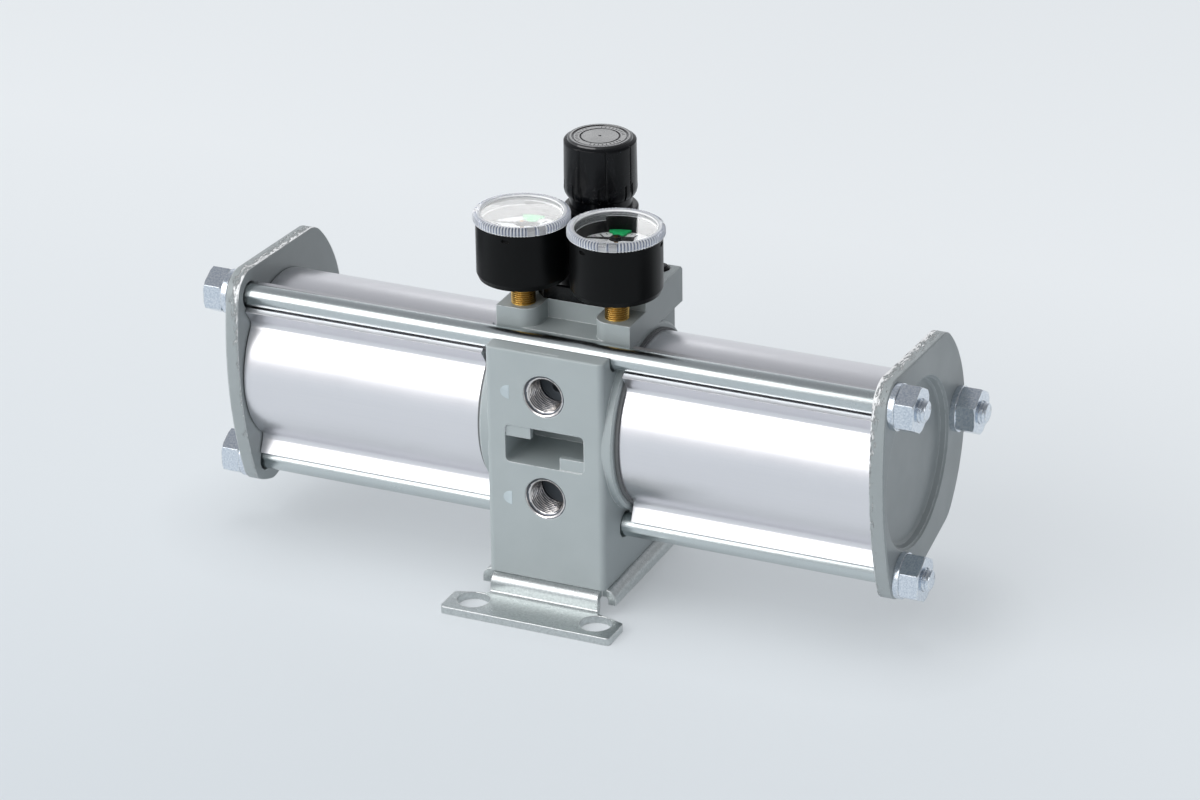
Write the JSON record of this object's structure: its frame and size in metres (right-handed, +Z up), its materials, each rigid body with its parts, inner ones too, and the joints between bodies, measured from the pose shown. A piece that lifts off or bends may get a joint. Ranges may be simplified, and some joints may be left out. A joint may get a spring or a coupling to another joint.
{
  "type": "air pressure booster",
  "caption": "Air pressure booster: cast centre body with ports, pressure gauges and a regulator knob, a tie-rod cylinder on either side, on a bent sheet bracket.",
  "frame": {"origin": "middle of the mounting bracket, on the surface that it stands on", "axes": "+X along the cylinders, -Y the side with the inlet and outlet ports, +Z up"},
  "size_m": [0.307, 0.118, 0.1788],
  "materials": {
    "body_paint": "light grey paint on die-cast aluminium, satin",
    "cover_paint": "light grey paint on cast aluminium, satin",
    "anodised_aluminium": "silver anodised extrusion, satin",
    "machined_aluminium": "machined",
    "zinc_steel": "bright zinc plated steel",
    "bracket_zinc": "zinc plated steel sheet with a slight green tint",
    "ground_steel": "ground steel",
    "spring_steel": "drawn spring wire",
    "black_steel": "blackened steel",
    "bronze": "sintered bronze",
    "brass": "turned brass",
    "rubber": "black nitrile rubber",
    "gasket_grey": "grey gasket, matt",
    "black_plastic": "moulded black plastic with a soft sheen",
    "gauge_black": "black painted case with a soft sheen",
    "dial_white": "white printed dial",
    "pointer_black": "black painted aluminium",
    "marker_green": "bright green plastic",
    "clear_plastic": "clear moulded plastic with a knurled rim"
  },
  "bodies": {
    "booster": {"base_screws": "zinc_steel", "body": "body_paint", "body_gaskets": "gasket_grey", "bonnet": "black_plastic", "bonnet_screws": "black_steel", "cover_seals": "rubber", "cylinder_tube_left": "anodised_aluminium", "cylinder_tube_right": "anodised_aluminium", "diaphragm": "rubber", "end_cover_left": "cover_paint", "end_cover_right": "cover_paint", "gauge_left_case": "gauge_black", "gauge_left_dial": "dial_white", "gauge_left_stem": "brass", "gauge_right_case": "gauge_black", "gauge_right_dial": "dial_white", "gauge_right_stem": "brass", "inlet_check_retainers": "brass", "mounting_bracket": "bracket_zinc", "outlet_check_seats": "brass", "regulating_spring": "spring_steel", "regulator_poppet_spring": "spring_steel", "regulator_valve_seat": "brass", "rod_bush": "bronze", "rod_seals": "rubber", "spring_washers": "zinc_steel", "tie_rod_back": "zinc_steel", "tie_rod_front_bottom": "zinc_steel", "tie_rod_front_top": "zinc_steel", "tie_rod_nuts": "zinc_steel", "valve_end_plugs": "brass", "valve_sleeve": "machined_aluminium"},
    "pistons": {"piston_left": "machined_aluminium", "piston_right": "machined_aluminium", "piston_seals": "rubber", "piston_rod": "ground_steel", "piston_bolts": "ground_steel"},
    "switching_valve": {"switching_spool": "machined_aluminium", "push_pins": "ground_steel"},
    "inlet_check_left": {"inlet_check_disc_left": "rubber"},
    "inlet_check_right": {"inlet_check_disc_right": "rubber"},
    "outlet_check_left": {"outlet_check_disc_left": "rubber"},
    "outlet_check_right": {"outlet_check_disc_right": "rubber"},
    "adjuster": {"adjusting_screw": "ground_steel"},
    "knob": {"knob": "black_plastic"},
    "spring_seat": {"spring_seat": "brass"},
    "regulator_valve": {"diaphragm_plate": "machined_aluminium", "regulator_poppet": "brass"},
    "pointer_left": {"gauge_left_pointer": "pointer_black"},
    "marker_left": {"gauge_left_limit_marker": "marker_green"},
    "gauge_cover_left": {"gauge_left_clear_cover": "clear_plastic"},
    "pointer_right": {"gauge_right_pointer": "pointer_black"},
    "marker_right": {"gauge_right_limit_marker": "marker_green"},
    "gauge_cover_right": {"gauge_right_clear_cover": "clear_plastic"}
  },
  "joints": [
    {"name": "piston_stroke", "type": "slide", "parent": "booster", "child": "pistons", "axis": [1, 0, 0], "range_m": [-0.04125, 0.04125]},
    {"name": "switching_valve_shift", "type": "slide", "parent": "booster", "child": "switching_valve", "axis": [1, 0, 0], "range_m": [-0.0025, 0.0025]},
    {"name": "inlet_check_left_lift", "type": "slide", "parent": "booster", "child": "inlet_check_left", "axis": [-1, 0, 0], "range_m": [0, 0.0015]},
    {"name": "inlet_check_right_lift", "type": "slide", "parent": "booster", "child": "inlet_check_right", "axis": [1, 0, 0], "range_m": [0, 0.0015]},
    {"name": "outlet_check_left_lift", "type": "slide", "parent": "booster", "child": "outlet_check_left", "axis": [1, 0, 0], "range_m": [0, 0.0015]},
    {"name": "outlet_check_right_lift", "type": "slide", "parent": "booster", "child": "outlet_check_right", "axis": [-1, 0, 0], "range_m": [0, 0.0015]},
    {"name": "adjust_turn", "type": "hinge", "parent": "booster", "child": "adjuster", "pos_m": [0, 0.02, 0.16], "axis": [0, 0, 1], "range_deg": [-1800, 0]},
    {"name": "knob_lift", "type": "slide", "parent": "adjuster", "child": "knob", "axis": [0, 0, 1], "range_m": [0, 0.003]},
    {"name": "spring_seat_travel", "type": "slide", "parent": "booster", "child": "spring_seat", "axis": [0, 0, 1], "range_m": [-0.005, 0], "deforming": ["regulating_spring"]},
    {"name": "regulator_valve_lift", "type": "slide", "parent": "booster", "child": "regulator_valve", "axis": [0, 0, 1], "range_m": [-0.0015, 0], "stiffness_N_per_m": 600, "springref_m": 0.0005, "deforming": ["diaphragm", "regulator_poppet_spring"]},
    {"name": "pointer_left_swing", "type": "hinge", "parent": "booster", "child": "pointer_left", "pos_m": [-0.02, -0.0105, 0.149], "axis": [0, 0, 1], "range_deg": [-232, 0], "stiffness_Nm_per_rad": 0.0001},
    {"name": "marker_left_set", "type": "hinge", "parent": "booster", "child": "marker_left", "pos_m": [-0.02, -0.0105, 0.146], "axis": [0, 0, 1], "range_deg": [-140, 92]},
    {"name": "gauge_cover_left_twist", "type": "hinge", "parent": "booster", "child": "gauge_cover_left", "pos_m": [-0.02, -0.0105, 0.154], "axis": [0, 0, 1], "range_deg": [0, 20]},
    {"name": "pointer_right_swing", "type": "hinge", "parent": "booster", "child": "pointer_right", "pos_m": [0.02, -0.0105, 0.149], "axis": [0, 0, 1], "range_deg": [-232, 0], "stiffness_Nm_per_rad": 0.0001},
    {"name": "marker_right_set", "type": "hinge", "parent": "booster", "child": "marker_right", "pos_m": [0.02, -0.0105, 0.146], "axis": [0, 0, 1], "range_deg": [-144, 88]},
    {"name": "gauge_cover_right_twist", "type": "hinge", "parent": "booster", "child": "gauge_cover_right", "pos_m": [0.02, -0.0105, 0.154], "axis": [0, 0, 1], "range_deg": [0, 20]}
  ],
  "couplings": [
    {"joint": "switching_valve_shift", "follows": "piston_stroke", "ratio": 0.0606},
    {"joint": "spring_seat_travel", "follows": "adjust_turn", "m_per_rad": 0.00015915}
  ]
}
